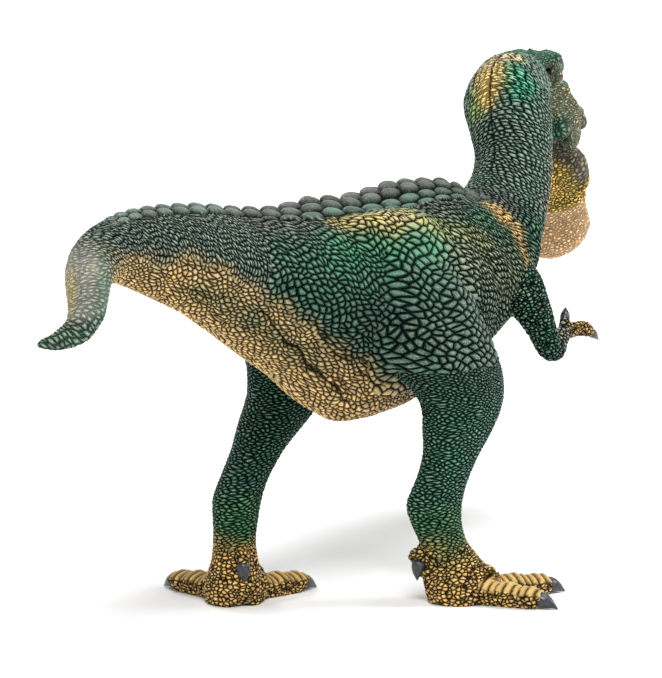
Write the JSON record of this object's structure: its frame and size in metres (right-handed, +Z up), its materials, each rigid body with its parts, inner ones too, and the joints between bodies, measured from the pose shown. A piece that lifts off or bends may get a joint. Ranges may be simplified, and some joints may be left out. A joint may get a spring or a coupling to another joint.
{
  "type": "toy dinosaur figure",
  "caption": "Standing toy tyrannosaur with a curled tail, one foot ahead of the other, and an open mouth whose lower jaw swings on a cross pin.",
  "frame": {"origin": "on the ground, under the middle of the figure's box", "axes": "+X forward toward the snout, +Y toward the figure's left side, +Z up"},
  "size_m": [0.2946, 0.109, 0.1449],
  "materials": {
    "skin": "satin hand-painted plastic, teal-green with dark cracks",
    "jaw_skin": "satin hand-painted plastic, ochre yellow with dark cracks",
    "mouth": "glossy painted plastic, flesh gums and ivory teeth",
    "pin": "plain drawn wire"
  },
  "bodies": {
    "figure": {"torso": "skin", "tail": "skin", "neck": "skin", "skull": "skin", "upper_teeth": "mouth", "jaw_pin": "pin", "right_leg": "skin", "left_leg": "skin", "right_arm": "skin", "left_arm": "skin"},
    "jaw": {"lower_jaw": "jaw_skin", "lower_teeth": "mouth"}
  },
  "joints": [
    {"name": "jaw_hinge", "type": "hinge", "parent": "figure", "child": "jaw", "pos_m": [0.09324, 0.01, 0.119], "axis": [-0.3584, 0.9336, 0], "range_deg": [-30, 0]}
  ]
}
